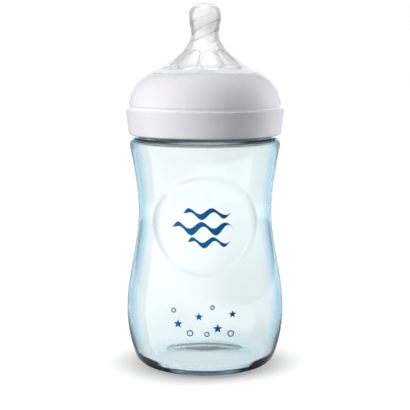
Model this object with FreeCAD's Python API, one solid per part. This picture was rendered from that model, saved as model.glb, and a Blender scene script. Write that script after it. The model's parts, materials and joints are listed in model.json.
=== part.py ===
import FreeCAD, Part
import math
import os

from FreeCAD import Vector

# A wide-neck feeding bottle: a clear waisted bottle, a white screw ring and a soft teat.
# Millimetres. Z is the axis of the bottle, Z = 0 is the table and the round medallion faces -Y.

# Bottle: the flat foot, the hollow under it and the rounded heel
FOOT_RADIUS = 25.0
FOOT_WIDTH = 3.0
PUSH_UP = 1.4
HEEL_ROUND = 7.0
HEEL_TURN = 68.0

# Bottle: the side wall swells at the belly, draws in at the waist and widens to the shoulder
BELLY_RADIUS = 35.3
BELLY_HEIGHT = 26.0
WAIST_RADIUS = 29.95
WAIST_HEIGHT = 70.0
SHOULDER_HEIGHT = 99.2
SHOULDER_LEAN = 11.0
SHOULDER_ROUND = 3.0
SHOULDER_LEDGE = 1.25

# Bottle: the neck that takes the screw ring
NECK_RADIUS = 29.5
NECK_LENGTH = 15.8
NECK_WALL = 1.9
NECK_FILLET = 0.8
RIM_ROUND = 0.5
SIDE_WALL = 1.5
FLOOR_WALL = 2.2

# Bottle: the round medallion that stands out of the front of the waist
MEDALLION_BELOW_SHOULDER = 9.4
MEDALLION_SIDE = 6.95
MEDALLION_BORDER = 4.6
MEDALLION_RISE = 1.1
MEDALLION_MARGIN = 0.5
MEDALLION_FRAME = 3.0
MEDALLION_STEPS = 32

# Screw ring: the skirt round the neck, the ledge and seat of a travel cap, and the dome
RING_CLEARANCE = 1.3
THREAD_ROOM = 2.5
SKIRT_WALL = 2.05
SKIRT_FLARE = 1.35
SKIRT_BULGE = 0.2
LEDGE_BELOW_RIM = 2.9
LEDGE_WIDTH = 1.4
CAP_SEAT_LENGTH = 1.8
DOME_RISE = 13.7
DOME_WIDTH = 9.35
DOME_ROUND = 17.85
DOME_WALL = 2.0
LIP_WIDTH = 1.05
CLAMP_RIB_INSET = 0.6
CLAMP_RIB_WALL = 1.7
SKIRT_EDGE_ROUND = 0.7
LEDGE_EDGE_ROUND = 0.45
LIP_EDGE_ROUND = 0.35

# Teat: the flange and plug that seal the bottle, and the collar that grips the lip of the ring
FLANGE_OVERHANG = 0.4
FLANGE_WALL = 2.1
WEB_WALL = 1.7
PLUG_LENGTH = 2.0
PLUG_WALL = 1.2
COLLAR_WALL = 2.0
COLLAR_GRIP = 1.2
COLLAR_TAPER = 1.2
BEAD_GRIP = 0.7
SEAL_GAP = 0.05
TURN_GAP = 0.2
GRIP_GAP = 0.3

# Teat: the flared breast and the nipple that stands on it
BREAST_RISE = 11.0
BREAST_ROUND = 42.0
BREAST_WALL = 2.6
NIPPLE_BASE_RADIUS = 8.6
NIPPLE_BASE_LEAN = 36.0
NIPPLE_NECK_RADIUS = 6.07
NIPPLE_NECK_RISE = 6.1
NIPPLE_BULB_RADIUS = 7.05
NIPPLE_BULB_RISE = 13.2
NIPPLE_BROW_RADIUS = 5.55
NIPPLE_BROW_RISE = 18.3
NIPPLE_RISE = 19.7
NIPPLE_WALL = 1.4

# Teat: soft petals moulded into the inside of the breast, flow holes and air valves
PETALS = 9
PETAL_TURN = 10.5
PETAL_WALL = 1.2
PETAL_INNER_RADIUS = 9.2
PETAL_OUTER_RADIUS = 13.9
PETAL_INNER_WIDTH = 5.6
PETAL_OUTER_WIDTH = 9.2
PETAL_INNER_BULGE = 1.3
PETAL_OUTER_BULGE = 3.7
FLOW_HOLES = 2
FLOW_HOLE_RADIUS = 0.25
FLOW_HOLE_CIRCLE = 1.3
VALVES = 2
VALVE_INSET = 1.2
VALVE_RADIUS = 1.15
VALVE_TIP_RADIUS = 0.85
VALVE_LENGTH = 2.4
VALVE_BORE_RADIUS = 0.6
VALVE_SLIT_WIDTH = 0.25
VALVE_TIP_WALL = 0.4

# The medallion keeps its distance from the shoulder and from the sides of the waist
MEDALLION_RADIUS = WAIST_RADIUS - MEDALLION_SIDE
MEDALLION_FACE_RADIUS = MEDALLION_RADIUS - MEDALLION_BORDER
MEDALLION_HEIGHT = SHOULDER_HEIGHT - MEDALLION_BELOW_SHOULDER - MEDALLION_RADIUS

# Heights that follow from the sizes above
SHOULDER_TOP = SHOULDER_HEIGHT + SHOULDER_ROUND * (1 + math.sin(math.radians(SHOULDER_LEAN)))
RIM_HEIGHT = SHOULDER_TOP + NECK_LENGTH
FLANGE_BOTTOM = RIM_HEIGHT + SEAL_GAP
FLANGE_TOP = FLANGE_BOTTOM + FLANGE_WALL
RING_BOTTOM = SHOULDER_TOP + RING_CLEARANCE
LEDGE_HEIGHT = RIM_HEIGHT - LEDGE_BELOW_RIM
CAP_SEAT_TOP = LEDGE_HEIGHT + CAP_SEAT_LENGTH
LIP_HEIGHT = CAP_SEAT_TOP + DOME_RISE
BREAST_BOTTOM = LIP_HEIGHT + SEAL_GAP
NIPPLE_BASE = BREAST_BOTTOM + BREAST_RISE

# Radii that follow from the sizes above
SHOULDER_RADIUS = NECK_RADIUS + SHOULDER_LEDGE + SHOULDER_ROUND * math.cos(math.radians(SHOULDER_LEAN))
NECK_BORE = NECK_RADIUS - NECK_WALL
RING_BORE = NECK_RADIUS + THREAD_ROOM
SKIRT_RADIUS = RING_BORE + SKIRT_WALL
LEDGE_RADIUS = SKIRT_RADIUS + SKIRT_FLARE
CAP_SEAT_RADIUS = LEDGE_RADIUS - LEDGE_WIDTH
CLAMP_RIB_RADIUS = NECK_RADIUS - CLAMP_RIB_INSET
LIP_RADIUS = CAP_SEAT_RADIUS - DOME_WIDTH
LIP_BORE = LIP_RADIUS - LIP_WIDTH
BEAD_RADIUS = LIP_BORE + BEAD_GRIP
GROOVE_RADIUS = LIP_BORE - TURN_GAP
COLLAR_RADIUS = LIP_BORE + COLLAR_GRIP
COLLAR_BORE = GROOVE_RADIUS - COLLAR_WALL
FLANGE_RADIUS = NECK_RADIUS + FLANGE_OVERHANG
PLUG_RADIUS = NECK_BORE - TURN_GAP
PLUG_BORE = PLUG_RADIUS - PLUG_WALL
VALVE_CIRCLE = PLUG_BORE - VALVE_INSET


def at(radius, height):
    """A point of an outline, which stands in the half plane behind the axis."""
    return Vector(0, radius, height)


def turned(degrees):
    """The way an outline runs when it has turned by so much from level and outwards."""
    return at(math.cos(math.radians(degrees)), math.sin(math.radians(degrees)))


# The two ends of the dome's outline, and the radius under the dome
DOME_FOOT = at(CAP_SEAT_RADIUS, CAP_SEAT_TOP)
LIP = at(LIP_RADIUS, LIP_HEIGHT)
DOME_INNER_ROUND = DOME_ROUND - DOME_WALL


def line(start, end):
    return Part.LineSegment(start, end).toShape()


def lines(*points):
    return [line(start, end) for start, end in zip(points, points[1:])]


def bowed(start, end, sagitta):
    """An arc that bows to the right of the way from start to end."""
    along = end - start
    middle = (start + end) * 0.5
    right = Vector(0, along.z, -along.y).normalize()
    return Part.Arc(start, middle + right * sagitta, end).toShape()


def sagitta_of(start, end, radius):
    half = (end - start).Length / 2
    return radius - math.sqrt(radius * radius - half * half)


def centre_of(start, end, radius):
    """Centre of the arc of that radius that bows to the right of the way from start to end."""
    along = end - start
    left = Vector(0, -along.z, along.y).normalize()
    return (start + end) * 0.5 + left * (radius - sagitta_of(start, end, radius))


def smooth(points, tangents):
    """A smooth curve through points. A tangent of None leaves the curve free there."""
    curve = Part.BSplineCurve()
    given = [tangent if tangent else Vector(0, 1, 0) for tangent in tangents]
    flags = [tangent is not None for tangent in tangents]
    curve.interpolate(Points=points, Tangents=given, TangentFlags=flags)
    return curve.toShape()


def spun(edges):
    """The solid that an outline of edges makes when it turns about the axis."""
    outline = Part.Wire(Part.__sortEdges__(edges))
    return Part.Face(outline).revolve(Vector(0, 0, 0), Vector(0, 0, 1), 360)


def around(shape, count, first=0.0):
    """Copies of a shape, evenly spaced about the axis."""
    copies = []
    for number in range(count):
        copy = shape.copy()
        copy.rotate(Vector(0, 0, 0), Vector(0, 0, 1), first + number * 360.0 / count)
        copies.append(copy)
    return copies


def rounded(solid, radius, *rings):
    """Rounds the circular edges that lie at the given (radius, height) pairs."""
    chosen = []
    for edge in solid.Edges:
        if edge.Degenerated or not isinstance(edge.Curve, Part.Circle):
            continue
        for ring_radius, height in rings:
            same_radius = abs(edge.Curve.Radius - ring_radius) < 0.01
            if same_radius and abs(edge.Curve.Center.z - height) < 0.01:
                chosen.append(edge)
    return solid.makeFillet(radius, chosen)


def side_curve(inset):
    """The side wall from the heel to the shoulder, moved in from the outside by inset."""
    heel_end = heel_arc(inset)[1]
    lean = turned(90.0 - SHOULDER_LEAN)
    shoulder = at(SHOULDER_RADIUS, SHOULDER_HEIGHT) - Vector(0, lean.z, -lean.y) * inset
    belly = at(BELLY_RADIUS - inset, BELLY_HEIGHT)
    waist = at(WAIST_RADIUS - inset, WAIST_HEIGHT)
    upright = Vector(0, 0, 1)
    return smooth([heel_end, belly, waist, shoulder], [turned(HEEL_TURN), upright, upright, lean])


def heel_arc(inset):
    """The heel as an edge and its end. Inside the bottle it stands on the thicker floor."""
    floor = PUSH_UP + FLOOR_WALL if inset > 0 else 0.0
    radius = HEEL_ROUND - inset
    centre = at(FOOT_RADIUS, floor + radius)
    start = at(FOOT_RADIUS, floor)
    middle = centre + turned(HEEL_TURN / 2 - 90.0) * radius
    end = centre + turned(HEEL_TURN - 90.0) * radius
    return Part.Arc(start, middle, end).toShape(), end


def shoulder_arc(inset):
    """The shoulder turns from the side wall to level. Its end is where the neck's fillet starts."""
    lean = turned(90.0 - SHOULDER_LEAN)
    outwards = Vector(0, lean.z, -lean.y)
    centre = at(SHOULDER_RADIUS, SHOULDER_HEIGHT) - outwards * SHOULDER_ROUND
    radius = SHOULDER_ROUND - inset
    middle = centre + turned((90.0 - SHOULDER_LEAN) / 2) * radius
    top = centre + Vector(0, 0, radius)
    return Part.Arc(centre + outwards * radius, middle, top).toShape(), top


def medallion_rise(distance):
    """How far the medallion stands out at that distance from its centre, less than 0 outside it."""
    slope = MEDALLION_RISE / MEDALLION_BORDER
    border_end = MEDALLION_RADIUS + MEDALLION_MARGIN / slope
    way = (distance - MEDALLION_FACE_RADIUS) / (border_end - MEDALLION_FACE_RADIUS)
    way = min(max(way, 0.0), 1.0)
    return MEDALLION_RISE - (MEDALLION_RISE + MEDALLION_MARGIN) * way * way * (3 - 2 * way)


def medallion(inset):
    """What the medallion adds to a wall at that inset: a round face with a sloping border."""
    wall = side_curve(inset).Curve
    reach = MEDALLION_RADIUS + MEDALLION_FRAME
    steps = [reach * (2.0 * number / MEDALLION_STEPS - 1.0) for number in range(MEDALLION_STEPS + 1)]
    grid = []
    for rise in steps:
        on_wall = wall.value(wall.parameter(at(WAIST_RADIUS, MEDALLION_HEIGHT + rise)))
        row = []
        for across in steps:
            radius = on_wall.y + medallion_rise(math.hypot(across, on_wall.z - MEDALLION_HEIGHT))
            row.append(Vector(across, -math.sqrt(radius ** 2 - across ** 2), on_wall.z))
        grid.append(row)
    face = Part.BSplineSurface()
    face.interpolate(grid)
    return face.toShape().extrude(Vector(0, WAIST_RADIUS / 2, 0))


def bottle_blank(inset, foot, neck_radius, top):
    """The bottle as a full solid: its outside at inset 0, and the space in it at the wall's inset."""
    heel, heel_end = heel_arc(inset)
    shoulder, shoulder_top = shoulder_arc(inset)
    neck_foot = at(neck_radius, shoulder_top.z)
    outline = foot + [heel, side_curve(inset), shoulder]
    outline += lines(shoulder_top, neck_foot, at(neck_radius, top), at(0, top), foot[0].Vertexes[0].Point)
    return spun(outline).fuse(medallion(inset))


def make_bottle():
    hollow_radius = FOOT_RADIUS - FOOT_WIDTH
    hollow = bowed(at(0, PUSH_UP), at(hollow_radius, 0), -PUSH_UP / 4)
    foot = [hollow, line(at(hollow_radius, 0), at(FOOT_RADIUS, 0))]
    floor = PUSH_UP + FLOOR_WALL
    outside = bottle_blank(0.0, foot, NECK_RADIUS, RIM_HEIGHT)
    inside = bottle_blank(SIDE_WALL, [line(at(0, floor), at(FOOT_RADIUS, floor))], NECK_BORE, RIM_HEIGHT)
    bottle = outside.cut(inside)
    bottle = rounded(bottle, NECK_FILLET, (NECK_RADIUS, SHOULDER_TOP))
    return rounded(bottle, RIM_ROUND, (NECK_RADIUS, RIM_HEIGHT), (NECK_BORE, RIM_HEIGHT))


def under_dome(radius):
    """The point under the ring's dome at that radius."""
    centre = centre_of(DOME_FOOT, LIP, DOME_ROUND)
    return at(radius, centre.z + math.sqrt(DOME_INNER_ROUND ** 2 - (radius - centre.y) ** 2))


def under_dome_arc(start, end):
    return bowed(start, end, -sagitta_of(start, end, DOME_INNER_ROUND))


def make_screw_ring():
    rib_bore = CLAMP_RIB_RADIUS - CLAMP_RIB_WALL
    rib_bottom = FLANGE_TOP + SEAL_GAP
    centre = centre_of(DOME_FOOT, LIP, DOME_ROUND)
    inner_foot = centre + (DOME_FOOT - centre).normalize() * DOME_INNER_ROUND
    outline = [
        bowed(at(SKIRT_RADIUS, RING_BOTTOM), at(LEDGE_RADIUS, LEDGE_HEIGHT), SKIRT_BULGE),
        *lines(at(LEDGE_RADIUS, LEDGE_HEIGHT), at(CAP_SEAT_RADIUS, LEDGE_HEIGHT), DOME_FOOT),
        bowed(DOME_FOOT, LIP, sagitta_of(DOME_FOOT, LIP, DOME_ROUND)),
        *lines(LIP, at(LIP_BORE, LIP_HEIGHT), under_dome(LIP_BORE)),
        under_dome_arc(under_dome(LIP_BORE), under_dome(rib_bore)),
        *lines(under_dome(rib_bore), at(rib_bore, rib_bottom), at(CLAMP_RIB_RADIUS, rib_bottom)),
        line(at(CLAMP_RIB_RADIUS, rib_bottom), under_dome(CLAMP_RIB_RADIUS)),
        under_dome_arc(under_dome(CLAMP_RIB_RADIUS), inner_foot),
        *lines(inner_foot, at(RING_BORE, LEDGE_HEIGHT), at(RING_BORE, RING_BOTTOM)),
        line(at(RING_BORE, RING_BOTTOM), at(SKIRT_RADIUS, RING_BOTTOM)),
    ]
    ring = spun(outline)
    ring = rounded(ring, SKIRT_EDGE_ROUND, (SKIRT_RADIUS, RING_BOTTOM))
    ring = rounded(ring, LEDGE_EDGE_ROUND, (LEDGE_RADIUS, LEDGE_HEIGHT))
    return rounded(ring, LIP_EDGE_ROUND, (LIP_RADIUS, LIP_HEIGHT))


def breast_arc(inset, inner_end):
    """The breast from its foot at the ring to the nipple, moved in by inset, and its two ends."""
    foot = at(BEAD_RADIUS, BREAST_BOTTOM)
    top = at(NIPPLE_BASE_RADIUS, NIPPLE_BASE)
    centre = centre_of(top, foot, BREAST_ROUND)
    radius = BREAST_ROUND + inset
    start = centre + (top - centre).normalize() * radius
    end = at(inner_end, centre.z - math.sqrt(radius ** 2 - (inner_end - centre.y) ** 2))
    return bowed(start, end, sagitta_of(start, end, radius)), start, end


def nipple_curve(base, wall):
    """The nipple from its base to the tip, moved in by the wall."""
    neck = at(NIPPLE_NECK_RADIUS - wall, NIPPLE_BASE + NIPPLE_NECK_RISE)
    bulb = at(NIPPLE_BULB_RADIUS - wall, NIPPLE_BASE + NIPPLE_BULB_RISE)
    brow = at(NIPPLE_BROW_RADIUS, NIPPLE_BASE + NIPPLE_BROW_RISE) - turned(45.0) * wall
    tip = at(0, NIPPLE_BASE + NIPPLE_RISE - wall)
    upright = Vector(0, 0, 1)
    ways = [turned(90.0 + NIPPLE_BASE_LEAN), upright, upright, None, Vector(0, -1, 0)]
    return smooth([base, neck, bulb, brow, tip], ways), tip


def petal_pockets():
    """The pockets that leave the breast thin, one under each petal."""
    inner = PETAL_INNER_RADIUS
    outer = PETAL_OUTER_RADIUS
    corners = [Vector(x, y, 0) for x, y in (
        (inner, -PETAL_INNER_WIDTH / 2),
        (outer, -PETAL_OUTER_WIDTH / 2),
        (outer, PETAL_OUTER_WIDTH / 2),
        (inner, PETAL_INNER_WIDTH / 2),
    )]
    outline = [
        line(corners[0], corners[1]),
        Part.Arc(corners[1], Vector(outer + PETAL_OUTER_BULGE, 0, 0), corners[2]).toShape(),
        line(corners[2], corners[3]),
        Part.Arc(corners[3], Vector(inner - PETAL_INNER_BULGE, 0, 0), corners[0]).toShape(),
    ]
    petal = Part.Face(Part.Wire(outline)).extrude(Vector(0, 0, NIPPLE_BASE))
    roof, roof_top, roof_end = breast_arc(PETAL_WALL, COLLAR_BORE)
    below = at(COLLAR_BORE, FLANGE_BOTTOM)
    hollow = spun([roof] + lines(roof_end, below, at(0, FLANGE_BOTTOM), at(0, roof_top.z), roof_top))
    return around(petal.common(hollow), PETALS, PETAL_TURN - 90.0)


def air_valves():
    """Small cups under the web, closed by a slit that lets air in as the milk leaves."""
    web_bottom = FLANGE_TOP - WEB_WALL
    seat = Vector(VALVE_CIRCLE, 0, web_bottom)
    down = Vector(0, 0, -1)
    cup = Part.makeCone(VALVE_RADIUS, VALVE_TIP_RADIUS, VALVE_LENGTH, seat, down)
    depth = WEB_WALL + VALVE_LENGTH - VALVE_TIP_WALL
    bore = Part.makeCylinder(VALVE_BORE_RADIUS, depth, Vector(VALVE_CIRCLE, 0, FLANGE_TOP), down)
    slit_length = 2 * VALVE_BORE_RADIUS
    corner = seat - Vector(VALVE_SLIT_WIDTH / 2, slit_length / 2, VALVE_LENGTH)
    slit = Part.makeBox(VALVE_SLIT_WIDTH, slit_length, VALVE_LENGTH, corner)
    return around(cup, VALVES), around(bore.fuse(slit), VALVES)


def make_teat():
    breast, breast_top, breast_foot = breast_arc(0.0, BEAD_RADIUS)
    inner_breast, inner_top, inner_foot = breast_arc(BREAST_WALL, COLLAR_BORE)
    nipple, tip = nipple_curve(breast_top, 0.0)
    inner_nipple, inner_tip = nipple_curve(inner_top, NIPPLE_WALL)
    groove_bottom = under_dome(LIP_BORE).z - GRIP_GAP
    collar_top = under_dome(COLLAR_RADIUS).z - GRIP_GAP
    plug_bottom = FLANGE_BOTTOM - PLUG_LENGTH
    web_bottom = FLANGE_TOP - WEB_WALL
    outline = [nipple, breast, inner_breast, inner_nipple, line(inner_tip, tip)]
    outline += lines(
        breast_foot,
        at(GROOVE_RADIUS, BREAST_BOTTOM),
        at(GROOVE_RADIUS, groove_bottom),
        at(COLLAR_RADIUS, collar_top),
        at(COLLAR_RADIUS - COLLAR_TAPER, FLANGE_TOP),
        at(FLANGE_RADIUS, FLANGE_TOP),
        at(FLANGE_RADIUS, FLANGE_BOTTOM),
        at(PLUG_RADIUS, FLANGE_BOTTOM),
        at(PLUG_RADIUS, plug_bottom),
        at(PLUG_BORE, plug_bottom),
        at(PLUG_BORE, web_bottom),
        at(COLLAR_BORE, web_bottom),
        inner_foot,
    )
    teat = spun(outline)
    hole = Part.makeCylinder(FLOW_HOLE_RADIUS, NIPPLE_RISE, Vector(FLOW_HOLE_CIRCLE, 0, NIPPLE_BASE))
    cups, bores = air_valves()
    teat = teat.cut(petal_pockets() + around(hole, FLOW_HOLES))
    return teat.fuse(cups).cut(bores).removeSplitter()


def main():
    os.makedirs("parts", exist_ok=True)
    pieces = {"bottle": make_bottle(), "screw_ring": make_screw_ring(), "teat": make_teat()}
    for name, piece in pieces.items():
        solids = len(piece.Solids)
        print(name, "valid", piece.isValid(), "solids", solids, "volume", round(piece.Volume), "mm3")
        piece.exportStep("parts/" + name + ".step")


main()
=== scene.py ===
import bpy
import bmesh
import json
import math
import numpy
from mathutils import Matrix, Vector

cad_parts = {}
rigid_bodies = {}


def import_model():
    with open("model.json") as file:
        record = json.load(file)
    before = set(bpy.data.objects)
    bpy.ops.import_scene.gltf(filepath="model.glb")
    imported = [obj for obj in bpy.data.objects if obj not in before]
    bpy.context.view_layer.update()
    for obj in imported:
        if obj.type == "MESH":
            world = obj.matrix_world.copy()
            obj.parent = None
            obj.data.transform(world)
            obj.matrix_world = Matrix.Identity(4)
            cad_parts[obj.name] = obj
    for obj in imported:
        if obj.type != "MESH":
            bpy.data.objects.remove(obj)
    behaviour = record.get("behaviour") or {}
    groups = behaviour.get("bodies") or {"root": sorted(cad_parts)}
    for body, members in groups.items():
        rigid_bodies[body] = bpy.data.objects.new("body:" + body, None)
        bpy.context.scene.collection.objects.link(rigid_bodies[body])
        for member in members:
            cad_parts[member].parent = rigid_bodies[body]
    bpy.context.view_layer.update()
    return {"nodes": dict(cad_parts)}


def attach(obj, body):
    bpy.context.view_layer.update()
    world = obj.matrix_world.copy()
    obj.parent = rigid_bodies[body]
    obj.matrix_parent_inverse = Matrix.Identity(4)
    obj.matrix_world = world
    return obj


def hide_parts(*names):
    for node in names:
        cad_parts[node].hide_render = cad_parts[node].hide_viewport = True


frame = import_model()
mm = 0.001
weld = 0.001 * mm      # points closer than this become one
sharpAngle = 40        # edges steeper than this stay crisp in the shading
onThread = 0.05        # mm off the plain wall that still takes the thread
print("frame loaded:", sorted(frame["nodes"]))


def linear(hexColour):
    parts = [int(hexColour[i:i + 2], 16) / 255 for i in (1, 3, 5)]
    return [c / 12.92 if c <= 0.04045 else ((c + 0.055) / 1.055) ** 2.4 for c in parts] + [1.0]


def addNode(owner, kind, settings=None, links=None):
    # settings are node properties or inputs, links are input: (node, output)
    tree = owner.node_tree
    node = tree.nodes.new("ShaderNode" + kind)
    for name, value in (settings or {}).items():
        if isinstance(name, str) and hasattr(node, name):
            setattr(node, name, value)
        else:
            node.inputs[name].default_value = value
    for name, (source, output) in (links or {}).items():
        tree.links.new(source.outputs[output], node.inputs[name])
    return node


def newMaterial(name):
    material = bpy.data.materials.new(name)
    material.use_nodes = True
    material.node_tree.nodes.clear()
    return material


def smoothStep(value):
    value = min(max(value, 0.0), 1.0)
    return value * value * (3 - 2 * value)


def polar(co):
    return math.hypot(co.x, co.y), math.atan2(co.y, co.x) % (2 * math.pi)


def drawOutline(points):
    # points in mm: radius, height, steps, and for a curved run its heading at the start and the end
    # headings are degrees from straight outwards, so 90 is straight up
    curve = bpy.data.curves.new("outline", "CURVE")
    curve.dimensions = "3D"
    for (r0, z0, *_), (r1, z1, steps, *headings) in zip(points, points[1:]):
        start, end = Vector((r0, 0, z0)) * mm, Vector((r1, 0, z1)) * mm
        if not headings:
            headings = [math.degrees(math.atan2(z1 - z0, r1 - r0))] * 2
        turn = math.radians(headings[1] - headings[0])
        reach = (end - start).length / (3 * math.cos(turn / 4) ** 2)  # handle length that makes a round arc
        ways = [Vector((math.cos(math.radians(h)), 0, math.sin(math.radians(h)))) * reach for h in headings]
        spline = curve.splines.new("BEZIER")
        spline.bezier_points.add(1)
        spline.resolution_u = steps
        for knot, place, way in zip(spline.bezier_points, (start, end), ways):
            knot.handle_left_type = knot.handle_right_type = "FREE"
            knot.co, knot.handle_left, knot.handle_right = place, place - way, place + way
    holder = bpy.data.objects.new("outline", curve)
    line = bpy.data.meshes.new_from_object(holder)
    bm = bmesh.new()
    bm.from_mesh(line)
    bmesh.ops.remove_doubles(bm, verts=bm.verts, dist=weld)
    bpy.data.objects.remove(holder)
    bpy.data.curves.remove(curve)
    bpy.data.meshes.remove(line)
    return bm


def spinOutline(points, steps):
    bm = drawOutline(points)
    bmesh.ops.spin(
        bm, geom=bm.verts[:] + bm.edges[:], cent=(0, 0, 0), axis=(0, 0, 1),
        angle=2 * math.pi, steps=steps, use_merge=True)
    bmesh.ops.remove_doubles(bm, verts=bm.verts, dist=weld)
    bmesh.ops.recalc_face_normals(bm, faces=bm.faces)
    return bm


def finishPiece(bm, name, material, body, replaced=None):
    for face in bm.faces:
        face.smooth = True
    mesh = bpy.data.meshes.new(name)
    bm.to_mesh(mesh)
    bm.free()
    mesh.set_sharp_from_angle(angle=math.radians(sharpAngle))
    mesh.materials.append(material)
    piece = bpy.data.objects.new(name, mesh)
    bpy.context.scene.collection.objects.link(piece)
    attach(piece, body)
    if replaced:
        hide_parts(replaced)
    print("made", name, "with", len(mesh.polygons), "faces")


def ridgeHeight(angle, height, thread):
    # how far a thread stands out here, and how it runs in at its two ends
    turns = (height - thread["start"]) / thread["lead"] - angle / (2 * math.pi)
    whole = round(turns)
    off = abs(turns - whole) * thread["lead"]
    along = angle / (2 * math.pi) + whole
    runIn = min(along - thread["first"], thread["last"] - along) / thread["runIn"]
    flank = (thread["foot"] / 2 - off) / ((thread["foot"] - thread["crest"]) / 2)
    return thread["depth"] * min(max(flank, 0.0), 1.0) * smoothStep(runIn)


# bottle: one closed wall, outside from the middle of the base up, then back down inside (mm)
bottle = {
    "steps": 288,
    "outline": [
        (0, 1.4),
        (22.0, 0.0, 6, -2, -6),       # hollow under the base
        (25.0, 0.0, 2),               # foot
        (31.49, 4.38, 10, 0, 68),     # heel
        (35.3, 26.0, 24, 68, 90),     # belly
        (29.95, 70.0, 56, 90, 90),    # waist
        (33.69, 99.2, 38, 90, 79),    # shoulder
        (30.75, 102.77, 10, 79, 180),
        (29.6, 102.77, 2),
        (31.0, 104.3, 4),             # bead at the foot of the neck
        (30.6, 104.8, 4, 48, 180),
        (29.5, 105.3, 4, 180, 90),
        (29.5, 118.07, 44),
        (29.0, 118.57, 4, 90, 180),   # rim
        (28.1, 118.57, 2),
        (27.6, 118.07, 4, 180, 270),
        (27.6, 101.27, 10),
        (30.75, 101.27, 2),
        (32.22, 99.49, 8, 0, -101),
        (28.45, 70.0, 28, 259, 270),
        (33.8, 26.0, 40, 270, 270),
        (30.1, 7.04, 18, 270, 248),
        (25.0, 3.6, 10, 248, 180),
        (0, 3.6, 8),
    ],
    "sideRuns": slice(3, 7),          # the runs of the outline that make the outer side wall
    "outerFrom": 27.0,                # on the front, only what is further out takes the medallion
    "medallion": {"height": 66.8, "face": 18.6, "foot": 22.4, "rise": 1.6},
    "neck": (29.5, 105.35, 118.0),
    "thread": {"start": 106.2, "lead": 8.0, "first": 0.0, "last": 1.2,
               "foot": 3.0, "crest": 1.4, "depth": 1.9, "runIn": 0.08},
}


def medallionRise(across, height):
    medallion = bottle["medallion"]
    way = math.hypot(across, height - medallion["height"]) - medallion["face"]
    return medallion["rise"] * (1 - smoothStep(way / (medallion["foot"] - medallion["face"])))


def makeBottle(material):
    bm = spinOutline(bottle["outline"], bottle["steps"])
    neckRadius, neckLow, neckHigh = bottle["neck"]
    for vert in bm.verts:
        radius, angle = polar(vert.co)
        r, x, z = radius / mm, vert.co.x / mm, vert.co.z / mm
        if vert.co.y < 0 and r > bottle["outerFrom"]:
            r += medallionRise(x, z)
            vert.co.y = -math.sqrt(max(r * r - x * x, 0.0)) * mm
        if abs(r - neckRadius) < onThread and neckLow < z < neckHigh:
            grow = 1 + ridgeHeight(angle, z, bottle["thread"]) / r
            vert.co.x *= grow
            vert.co.y *= grow
    finishPiece(bm, "bottleWall", material, "bottle", "bottle")


# print on the front of the bottle: brushed waves on the medallion, stars and rings on the belly (mm)
printing = {
    "lift": 0.03,
    "film": 0.03,
    "waves": [
        # middle across, middle height, length, swing, crests, brush width
        (0.8, 72.5, 20.0, 1.4, 2.0, 2.7),
        (-1.0, 66.3, 26.0, 1.6, 2.5, 3.1),
        (1.6, 60.3, 18.0, 1.3, 2.0, 2.5),
    ],
    "waveCells": (72, 4),
    "brush": {"even": 0.72, "lean": 0.28, "turn": 0.5, "start": 0.10, "end": 0.22, "tip": 0.12},
    "stars": [(-11.5, 25.2, 2.1), (-2.6, 28.6, 1.9), (5.4, 23.4, 2.2), (11.8, 29.4, 1.8)],
    "starWaist": 0.42,
    "rings": [(-13.4, 31.0, 1.1), (-6.4, 21.4, 1.4), (0.8, 21.0, 1.15), (11.0, 21.0, 1.45), (3.2, 32.6, 1.0)],
    "ringLine": 0.48,
    "ringSides": 28,
}


def addWave(bm, across, height, length, swing, crests, width):
    brush = printing["brush"]
    cellsLong, cellsWide = printing["waveCells"]
    made = bmesh.ops.create_grid(bm, x_segments=cellsLong, y_segments=cellsWide, size=0.5)
    for vert in made["verts"]:
        share, side = vert.co.x + 0.5, vert.co.y
        phase = 2 * math.pi * crests * share
        # the brush leans on the rising strokes
        press = width * (brush["even"] + brush["lean"] * math.cos(phase + brush["turn"]))
        press *= smoothStep(share / brush["start"]) * smoothStep((1 - share) / brush["end"]) + brush["tip"]
        x, z = across + (share - 0.5) * length, height + swing * math.sin(phase) + side * press
        vert.co = Vector((x, z, 0)) * mm


def addStar(bm, across, height, size):
    made = bmesh.ops.create_circle(bm, cap_ends=True, cap_tris=True, segments=10, radius=size)
    for vert in made["verts"]:
        corner = round(math.atan2(vert.co.x, vert.co.y) / (math.pi / 5))
        if corner % 2:
            vert.co *= printing["starWaist"]
        vert.co = (vert.co + Vector((across, height, 0))) * mm


def addRing(bm, across, height, size):
    made = bmesh.ops.create_circle(bm, segments=printing["ringSides"], radius=size)
    edges = list({edge for vert in made["verts"] for edge in vert.link_edges})
    grown = bmesh.ops.extrude_edge_only(bm, edges=edges)
    inner = [item for item in grown["geom"] if isinstance(item, bmesh.types.BMVert)]
    bmesh.ops.scale(bm, verts=inner, vec=Vector((1, 1, 1)) * (1 - printing["ringLine"] / size))
    for vert in made["verts"] + inner:
        vert.co = (vert.co + Vector((across, height, 0))) * mm


def layPrint(bm):
    # the flat drawing is laid on the outer wall, then gets the thickness of the ink
    side = drawOutline(bottle["outline"][bottle["sideRuns"]])
    wall = sorted((vert.co.z / mm, vert.co.x / mm) for vert in side.verts)
    side.free()
    heights, radii = zip(*wall)
    for vert in bm.verts:
        x, z = vert.co.x / mm, vert.co.y / mm
        r = numpy.interp(z, heights, radii) + medallionRise(x, z) + printing["lift"]
        vert.co = Vector((x, -math.sqrt(r * r - x * x), z)) * mm
    bm.normal_update()
    bmesh.ops.reverse_faces(bm, faces=[face for face in bm.faces if face.normal.y > 0])
    bmesh.ops.solidify(bm, geom=bm.faces[:], thickness=-printing["film"] * mm)


def makePrint(material):
    bm = bmesh.new()
    for wave in printing["waves"]:
        addWave(bm, *wave)
    for star in printing["stars"]:
        addStar(bm, *star)
    for ring in printing["rings"]:
        addRing(bm, *ring)
    layPrint(bm)
    finishPiece(bm, "navyPrint", material, "bottle")


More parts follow.
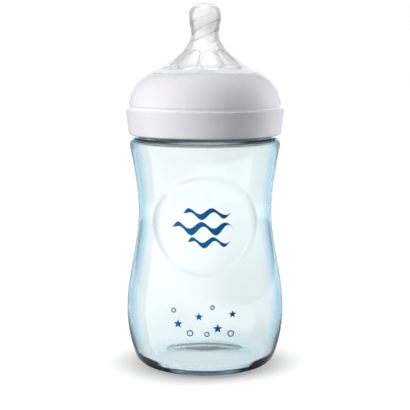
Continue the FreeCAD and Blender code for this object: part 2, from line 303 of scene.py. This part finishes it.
# screw ring: skirt, ledge, cap seat and dome outside, then the clamp rib and the thread inside (mm)
screwRing = {
    "steps": 240,
    "outline": [
        (33.35, 104.07),
        (34.13, 104.75, 6, 0, 84),
        (35.36, 115.2, 16, 83.5, 83),
        (34.95, 115.67, 6, 83, 180),
        (33.5, 115.67, 2),               # ledge
        (33.5, 116.4, 3),                # groove
        (34.0, 117.1, 3),
        (34.0, 117.47, 1),               # cap seat
        (24.98, 130.98, 32, 96.6, 151),  # dome
        (24.6, 131.17, 3, 151, 180),
        (23.6, 131.17, 2),               # lip
        (23.6, 129.47, 3),
        (27.2, 126.89, 6, 332.4, 316.4),
        (27.2, 120.77, 6),               # clamp rib
        (28.9, 120.77, 2),
        (28.9, 124.99, 4),
        (32.01, 117.24, 10, 307.2, 276.6),
        (32.0, 115.67, 4),
        (32.0, 104.07, 36),              # threaded bore
        (33.35, 104.07, 3),
    ],
    "bore": (32.0, 104.2, 115.6),
    "thread": {"start": 103.0, "lead": 8.0, "first": 0.4, "last": 1.38,
               "foot": 3.0, "crest": 1.4, "depth": 1.9, "runIn": 0.08},
}


def makeScrewRing(material):
    bm = spinOutline(screwRing["outline"], screwRing["steps"])
    boreRadius, boreLow, boreHigh = screwRing["bore"]
    for vert in bm.verts:
        radius, angle = polar(vert.co)
        r, z = radius / mm, vert.co.z / mm
        if abs(r - boreRadius) < onThread and boreLow < z < boreHigh:
            grow = 1 - ridgeHeight(angle, z, screwRing["thread"]) / r
            vert.co.x *= grow
            vert.co.y *= grow
    finishPiece(bm, "screwRing", material, "screw_ring", "screw_ring")


# teat: nipple and breast outside, collar and flange in the ring, then back up inside (mm)
teat = {
    "steps": 288,
    "outline": [
        (0, 161.92),
        (5.55, 160.52, 10, 0, -42),
        (7.05, 155.42, 12, -42, -90),    # bulb
        (6.07, 148.32, 14, 270, 270),    # neck
        (8.6, 142.22, 14, 270, 306),     # foot of the nipple
        (24.3, 131.22, 30, 314, 336),    # breast
        (23.4, 131.22, 2),
        (23.4, 129.17, 4),               # groove for the lip
        (24.8, 128.47, 2),
        (23.6, 120.72, 8),               # collar
        (29.9, 120.72, 6),
        (29.9, 118.62, 3),               # flange
        (27.4, 118.62, 3),
        (27.4, 116.62, 3),               # plug
        (26.2, 116.62, 2),
        (26.2, 119.02, 3),
        (21.4, 119.02, 4),
        (21.4, 129.64, 8),
        (6.66, 140.49, 70, 154, 132),    # inside of the breast
        (4.67, 148.32, 28, 126, 90),
        (5.65, 155.42, 28, 90, 90),
        (4.56, 159.53, 12, 90, 138),
        (0, 160.52, 8, 138, 180),
    ],
    "facingDown": -0.3,                  # a normal that dips below this is on the inside
    "petalZone": (5.4, 21.3, 129.7, 144.0),  # radius from and to, height from and to
    "spiralZone": (6.4, 141.0),              # radius below, height above
    "petals": {"count": 9, "turn": 10.5, "depth": 1.4, "edge": 0.5, "inner": 9.2, "outer": 13.9,
               "innerWidth": 5.6, "outerWidth": 9.2, "innerBulge": 2.4, "outerBulge": 3.7},
    "spiral": {"starts": 3, "pitch": 13.5, "width": 1.0, "depth": 0.45, "low": 143.0, "high": 159.0, "lift": 2.2},
}


def petalCover(x, y):
    # 1 inside a petal's outline in plan, 0 outside, with a narrow slope between
    petals = teat["petals"]
    pitch = 2 * math.pi / petals["count"]
    angle = math.atan2(y, x) - math.radians(petals["turn"] - 90)
    angle -= pitch * round(angle / pitch)
    out, side = math.hypot(x, y) * math.cos(angle), abs(math.hypot(x, y) * math.sin(angle))
    share = min(max((out - petals["inner"]) / (petals["outer"] - petals["inner"]), 0.0), 1.0)
    half = (petals["innerWidth"] + (petals["outerWidth"] - petals["innerWidth"]) * share) / 2
    bow = math.sqrt(max(1 - (side / half) ** 2, 0.0))
    inside = min(
        half - side,
        out - (petals["inner"] - petals["innerBulge"] * bow),
        petals["outer"] + petals["outerBulge"] * bow - out)
    return smoothStep(0.5 + inside / petals["edge"])


def spiralRidge(angle, z):
    # three fine ribs wind up the inside of the nipple
    spiral = teat["spiral"]
    turns = ((z - spiral["lift"]) / spiral["pitch"] - angle / (2 * math.pi)) * spiral["starts"]
    off = abs(turns - round(turns)) * spiral["pitch"] / spiral["starts"]
    ends = min(z - spiral["low"], spiral["high"] - z) / 2
    return spiral["depth"] * smoothStep(1 - 2 * off / spiral["width"]) * smoothStep(ends)


def makeTeat(material):
    bm = spinOutline(teat["outline"], teat["steps"])
    bm.normal_update()
    petalIn, petalOut, petalLow, petalHigh = teat["petalZone"]
    spiralOut, spiralLow = teat["spiralZone"]
    moves = []
    for vert in bm.verts:
        radius, angle = polar(vert.co)
        r, z = radius / mm, vert.co.z / mm
        inward = vert.normal.x * vert.co.x + vert.normal.y * vert.co.y < 0
        inside = inward or vert.normal.z < teat["facingDown"]
        if inside and petalIn < r < petalOut and petalLow < z < petalHigh:
            depth = -teat["petals"]["depth"] * petalCover(vert.co.x / mm, vert.co.y / mm)
            moves.append((vert, vert.normal * depth))
        if inside and r < spiralOut and z > spiralLow:
            moves.append((vert, vert.normal * spiralRidge(angle, z)))
    for vert, move in moves:
        vert.co += move * mm
    finishPiece(bm, "teatSkin", material, "teat", "teat")


# the clear wall's tint and its painted edge shade: straight through it, along its edge (painted deeper blue), how
# the edge comes in, and where the side begins (mm)
wallTintAndEdgeShade = {"through": "#FDFFFF", "along": "#A4E5FF", "edge": (0.42, 0.85), "edgeShadeFrom": (5, 12)}


# polypropylene, injection moulded clear: a hard bright surface with a faint waviness, and a blue tint that is pale
# through the wall;
# where the eye looks along the wall the colour is painted deeper blue, a painted edge shade for the longer path
# through the tint and the darker edges that refraction gives
def clearPolypropylene():
    material = newMaterial("clearPolypropyleneMoulded")
    place = addNode(material, "TexCoord")
    waves = addNode(material, "TexNoise", {"Scale": 1 / (14 * mm), "Detail": 1.0}, {"Vector": (place, "Object")})
    haze = addNode(material, "TexNoise", {"Scale": 1 / (3 * mm), "Detail": 3.0}, {"Vector": (place, "Object")})
    rough = addNode(material, "MapRange", {"To Min": 0.02, "To Max": 0.06}, {"Value": (haze, "Fac")})
    bump = addNode(material, "Bump", {"Strength": 0.1, "Distance": 0.02 * mm}, {"Height": (waves, "Fac")})
    # painted edge shade: the colour turns deeper blue where the eye looks along the wall, from the side wall up
    along = addNode(material, "LayerWeight", {"Blend": 0.5})
    faint, full = wallTintAndEdgeShade["edge"]
    edge = addNode(
        material, "MapRange", {"interpolation_type": "SMOOTHSTEP", "From Min": faint, "From Max": full},
        {"Value": (along, "Facing")})
    height = addNode(material, "SeparateXYZ", links={"Vector": (place, "Object")})
    low, high = wallTintAndEdgeShade["edgeShadeFrom"]
    side = addNode(material, "MapRange", {"From Min": low * mm, "From Max": high * mm}, {"Value": (height, "Z")})
    edge = addNode(material, "Math", {"operation": "MULTIPLY"}, {0: (edge, "Result"), 1: (side, "Result")})
    colour = addNode(
        material, "Mix", {"data_type": "RGBA", 6: linear(wallTintAndEdgeShade["through"]), 7: linear(wallTintAndEdgeShade["along"])},
        {0: (edge, 0)})
    shader = addNode(
        material, "BsdfPrincipled", {"IOR": 1.49, "Transmission Weight": 0.95},
        {"Base Color": (colour, 2), "Roughness": (rough, "Result"), "Normal": (bump, "Normal")})
    tint = addNode(material, "VolumeAbsorption", {"Color": linear("#71D8F4"), "Density": 42.0})
    addNode(material, "OutputMaterial", links={"Surface": (shader, "BSDF"), "Volume": (tint, "Volume")})
    return material


# polypropylene, injection moulded opaque white: smooth and bright, a soft even gloss with a fine moulded grain
def whitePolypropylene():
    material = newMaterial("whitePolypropyleneMoulded")
    place = addNode(material, "TexCoord")
    grain = addNode(material, "TexNoise", {"Scale": 1 / (0.6 * mm), "Detail": 2.0}, {"Vector": (place, "Object")})
    cloud = addNode(material, "TexNoise", {"Scale": 1 / (9 * mm), "Detail": 2.0}, {"Vector": (place, "Object")})
    rough = addNode(material, "MapRange", {"To Min": 0.16, "To Max": 0.24}, {"Value": (cloud, "Fac")})
    bump = addNode(material, "Bump", {"Strength": 0.05, "Distance": 0.01 * mm}, {"Height": (grain, "Fac")})
    shader = addNode(
        material, "BsdfPrincipled",
        {"Base Color": linear("#F2F1F7"), "IOR": 1.49, "Specular IOR Level": 0.3,
         "Subsurface Weight": 0.1, "Subsurface Scale": 1.0 * mm},
        {"Roughness": (rough, "Result"), "Normal": (bump, "Normal")})
    addNode(material, "OutputMaterial", links={"Surface": (shader, "BSDF")})
    return material


# silicone rubber, liquid moulded: soft and clear with a satin skin that blurs what lies behind it,
# and a slight milkiness that greys where it is thick
def clearSilicone():
    material = newMaterial("clearSiliconeMoulded")
    place = addNode(material, "TexCoord")
    cloud = addNode(material, "TexNoise", {"Scale": 1 / (4 * mm), "Detail": 2.0}, {"Vector": (place, "Object")})
    rough = addNode(material, "MapRange", {"To Min": 0.09, "To Max": 0.15}, {"Value": (cloud, "Fac")})
    shader = addNode(
        material, "BsdfPrincipled",
        {"Base Color": linear("#FFFFFF"), "IOR": 1.41, "Transmission Weight": 0.8},
        {"Roughness": (rough, "Result")})
    tint = addNode(material, "VolumeAbsorption", {"Color": linear("#8F9191"), "Density": 30.0})
    addNode(material, "OutputMaterial", links={"Surface": (shader, "BSDF"), "Volume": (tint, "Volume")})
    return material


# pad printed navy ink, baked on: an even matt film, a little thinner and lighter in soft patches
def navyInk():
    material = newMaterial("navyInkPadPrinted")
    place = addNode(material, "TexCoord")
    patches = addNode(
        material, "TexNoise", {"Scale": 1 / (0.8 * mm), "Detail": 3.0}, {"Vector": (place, "Object")})
    colour = addNode(
        material, "Mix", {"data_type": "RGBA", 6: linear("#1264A2"), 7: linear("#2876B0")}, {0: (patches, "Fac")})
    shader = addNode(
        material, "BsdfPrincipled", {"Roughness": 0.55, "Specular IOR Level": 0.08}, {"Base Color": (colour, 2)})
    addNode(material, "OutputMaterial", links={"Surface": (shader, "BSDF")})
    return material


makeBottle(clearPolypropylene())
makePrint(navyInk())
makeScrewRing(whitePolypropylene())
makeTeat(clearSilicone())


# stage: white floor, white world, a curved screen for reflections, lamps and the camera
# an azimuth is degrees from straight in front, towards the right
stage = {
    "floorSize": 6.0,
    "floorColour": "#9C9C9C",
    "floorGlow": 0.80,
    "glowRise": (0.12, 0.45),         # the glow goes up to full white here, away from the bottle
    "paintedContactShadow": (0.022, 0.047, 0.36),  # painted contact shadow: the glow goes down under the heel
    "lit": 1.25,                      # painted light: where the floor is seen through the clear base its glow is raised instead of shaded
    "worldFill": 0.35,
    "screen": {
        "radius": 0.6, "low": -1.0, "high": 1.4, "steps": 72, "bright": 2.6,
        # azimuth and share of the full brightness
        "levels": [
            (-160, 0.16), (-143, 0.16), (-138, 0.1), (-118, 0.1), (-110, 0.2), (-94, 0.25), (-93, 1.0),
            (-37, 0.92), (0, 0.68), (39, 0.12), (70, 0.08), (94, 0.1), (108, 0.1), (138, 0.1),
            (143, 0.16), (160, 0.16)],
        "topFade": (0.20, 0.42),
        "bottomFade": (-0.25, -0.50),
        "faded": 0.08,
    },
    "lamps": [
        # name, azimuth, distance, height, width, tall, watts
        ("keyLeft", -62, 0.7, 0.42, 0.5, 0.6, 4.9),
        ("rimRight", 112, 0.6, 0.20, 0.25, 0.5, 3.6),
        ("teatTop", 0, 0.25, 0.60, 0.3, 0.3, 7.2),
    ],
    "onlyFor": {"teatTop": "teatSkin"},  # a lamp that is shaded off everything but this piece
    "lampTarget": (0, 0, 0.09),
    "camera": (0, -0.540, 0.143),
    "target": (0, 0, 0.0721),
    "pixelLens": 1210,
    "pixelFrame": 410,
    "sensor": 36,
    "nearest": 0.01,
}


def around(azimuth, distance, height):
    turn = math.radians(azimuth)
    return Vector((distance * math.sin(turn), -distance * math.cos(turn), height))


def stageObject(bm, name, material):
    mesh = bpy.data.meshes.new(name)
    bm.to_mesh(mesh)
    bm.free()
    mesh.materials.append(material)
    thing = bpy.data.objects.new(name, mesh)
    bpy.context.scene.collection.objects.link(thing)
    return thing


def plainlySeen(owner):
    # 1 for what the eye sees, also through clear walls or in their gloss, 0 for light on a matt surface
    path = addNode(owner, "LightPath")
    seen = addNode(
        owner, "Math", {"operation": "MAXIMUM"}, {0: (path, "Is Camera Ray"), 1: (path, "Is Glossy Ray")})
    seen = addNode(owner, "Math", {"operation": "MAXIMUM"}, {0: (seen, 0), 1: (path, "Is Transmission Ray")})
    bare = addNode(owner, "Math", {"operation": "LESS_THAN", 1: 0.5}, {0: (path, "Diffuse Depth")})
    return addNode(owner, "Math", {"operation": "MULTIPLY"}, {0: (seen, 0), 1: (bare, 0)})


def makeFloor():
    bm = bmesh.new()
    bmesh.ops.create_grid(bm, x_segments=1, y_segments=1, size=stage["floorSize"] / 2)
    paper = newMaterial("whitePaperSweep")
    place = addNode(paper, "TexCoord")
    out = addNode(paper, "VectorMath", {"operation": "LENGTH"}, {0: (place, "Object")})
    near, far = stage["glowRise"]
    glow = addNode(
        paper, "MapRange",
        {"interpolation_type": "SMOOTHSTEP", "From Min": near, "From Max": far, "To Min": stage["floorGlow"]},
        {"Value": (out, "Value")})
    heel, clear, paintedShadowLevel = stage["paintedContactShadow"]
    path = addNode(paper, "LightPath")
    # painted contact shadow around the heel for what the camera sees, and painted light under the clear base for
    # rays that come through it
    paintedShadowAndGlow = addNode(
        paper, "MapRange", {"To Min": paintedShadowLevel, "To Max": stage["lit"]}, {"Value": (path, "Is Transmission Ray")})
    paintedContactShadow = addNode(
        paper, "MapRange",
        {"interpolation_type": "SMOOTHSTEP", "From Min": heel, "From Max": clear},
        {"Value": (out, "Value"), "To Min": (paintedShadowAndGlow, "Result")})
    glow = addNode(paper, "Math", {"operation": "MULTIPLY"}, {0: (glow, "Result"), 1: (paintedContactShadow, "Result")})
    glow = addNode(paper, "Math", {"operation": "MULTIPLY"}, {0: (glow, 0), 1: (plainlySeen(paper), 0)})
    shine = addNode(paper, "Emission", {"Color": linear("#FFFFFF")}, {"Strength": (glow, 0)})
    matte = addNode(paper, "BsdfDiffuse", {"Color": linear(stage["floorColour"])})
    both = addNode(paper, "AddShader", links={0: (matte, 0), 1: (shine, 0)})
    addNode(paper, "OutputMaterial", links={"Surface": (both, 0)})
    floor = stageObject(bm, "floor", paper)
    floor.visible_glossy = False


def makeScreen():
    # the soft light that the gloss shows: bright on the left with a sharp edge, fading out past the middle
    screen = stage["screen"]
    left, right = screen["levels"][0][0], screen["levels"][-1][0]
    bm = bmesh.new()
    ends = [bm.verts.new(around(left, screen["radius"], screen[level])) for level in ("low", "high")]
    edge = bm.edges.new(ends)
    bmesh.ops.spin(
        bm, geom=ends + [edge], cent=(0, 0, 0), axis=(0, 0, 1),
        angle=math.radians(right - left), steps=screen["steps"])
    cloth = newMaterial("softboxCloth")
    place = addNode(cloth, "TexCoord")
    turned = addNode(cloth, "Mapping", {"Rotation": (0, 0, math.pi / 2)}, {"Vector": (place, "Object")})
    azimuth = addNode(cloth, "TexGradient", {"gradient_type": "RADIAL"}, {"Vector": (turned, "Vector")})
    levels = addNode(cloth, "ValToRGB", links={"Fac": (azimuth, "Fac")})
    stops = levels.color_ramp.elements
    while len(stops) < len(screen["levels"]):
        stops.new(0.5)
    for stop, (degrees, level) in zip(stops, screen["levels"]):
        stop.position = degrees / 360 + 0.5
        stop.color = (level, level, level, 1)
    height = addNode(cloth, "SeparateXYZ", links={"Vector": (place, "Object")})
    fades = [
        addNode(
            cloth, "MapRange",
            {"interpolation_type": "SMOOTHSTEP", "From Min": full, "From Max": gone,
             "To Min": 1.0, "To Max": screen["faded"]},
            {"Value": (height, "Z")})
        for full, gone in (screen["topFade"], screen["bottomFade"])]
    fade = addNode(
        cloth, "Math", {"operation": "MULTIPLY"}, {0: (fades[0], "Result"), 1: (fades[1], "Result")})
    bright = addNode(cloth, "Math", {"operation": "MULTIPLY", 1: screen["bright"]}, {0: (fade, 0)})
    glow = addNode(cloth, "Emission", links={"Color": (levels, "Color"), "Strength": (bright, 0)})
    clear = addNode(cloth, "BsdfTransparent")
    path = addNode(cloth, "LightPath")
    gloss = addNode(cloth, "Math", {"operation": "GREATER_THAN", 1: 0.5}, {0: (path, "Glossy Depth")})
    bare = addNode(cloth, "Math", {"operation": "LESS_THAN", 1: 0.5}, {0: (path, "Diffuse Depth")})
    shown = addNode(cloth, "Math", {"operation": "MULTIPLY"}, {0: (gloss, 0), 1: (bare, 0)})
    both = addNode(cloth, "MixShader", links={0: (shown, 0), 1: (clear, 0), 2: (glow, 0)})
    addNode(cloth, "OutputMaterial", links={"Surface": (both, 0)})
    sheet = stageObject(bm, "softScreen", cloth)
    sheet.visible_camera = False
    sheet.visible_diffuse = False
    sheet.visible_shadow = False


def makeWorld():
    world = bpy.data.worlds.new("whiteStudio")
    bpy.context.scene.world = world
    world.use_nodes = True
    world.node_tree.nodes.clear()
    level = addNode(
        world, "MapRange", {"To Min": stage["worldFill"], "To Max": 1.0}, {"Value": (plainlySeen(world), 0)})
    sky = addNode(world, "Background", {"Color": linear("#FFFFFF")}, {"Strength": (level, "Result")})
    addNode(world, "OutputWorld", links={"Surface": (sky, "Background")})


def makeLamps():
    target = Vector(stage["lampTarget"])
    for name, azimuth, distance, height, width, tall, watts in stage["lamps"]:
        lamp = bpy.data.lights.new(name, "AREA")
        lamp.shape = "RECTANGLE"
        lamp.size, lamp.size_y, lamp.energy = width, tall, watts
        holder = bpy.data.objects.new(name, lamp)
        holder.location = around(azimuth, distance, height)
        holder.rotation_euler = (target - holder.location).to_track_quat("-Z", "Y").to_euler()
        holder.visible_glossy = False
        holder.visible_transmission = False
        bpy.context.scene.collection.objects.link(holder)
        if name in stage["onlyFor"]:
            lit = bpy.data.collections.new(name)
            lit.objects.link(bpy.data.objects[stage["onlyFor"][name]])
            holder.light_linking.receiver_collection = lit


def makeCamera():
    camera = bpy.data.cameras.new("photoCamera")
    camera.sensor_width = stage["sensor"]
    camera.lens = stage["pixelLens"] / stage["pixelFrame"] * camera.sensor_width
    camera.clip_start = stage["nearest"]
    holder = bpy.data.objects.new("photoCamera", camera)
    holder.location = stage["camera"]
    aim = Vector(stage["target"]) - Vector(stage["camera"])
    holder.rotation_euler = aim.to_track_quat("-Z", "Y").to_euler()
    bpy.context.scene.collection.objects.link(holder)
    bpy.context.scene.camera = holder


makeFloor()
makeScreen()
makeWorld()
makeLamps()
makeCamera()
bpy.context.scene.view_settings.view_transform = "Standard"
print("stage, lamps and camera set")
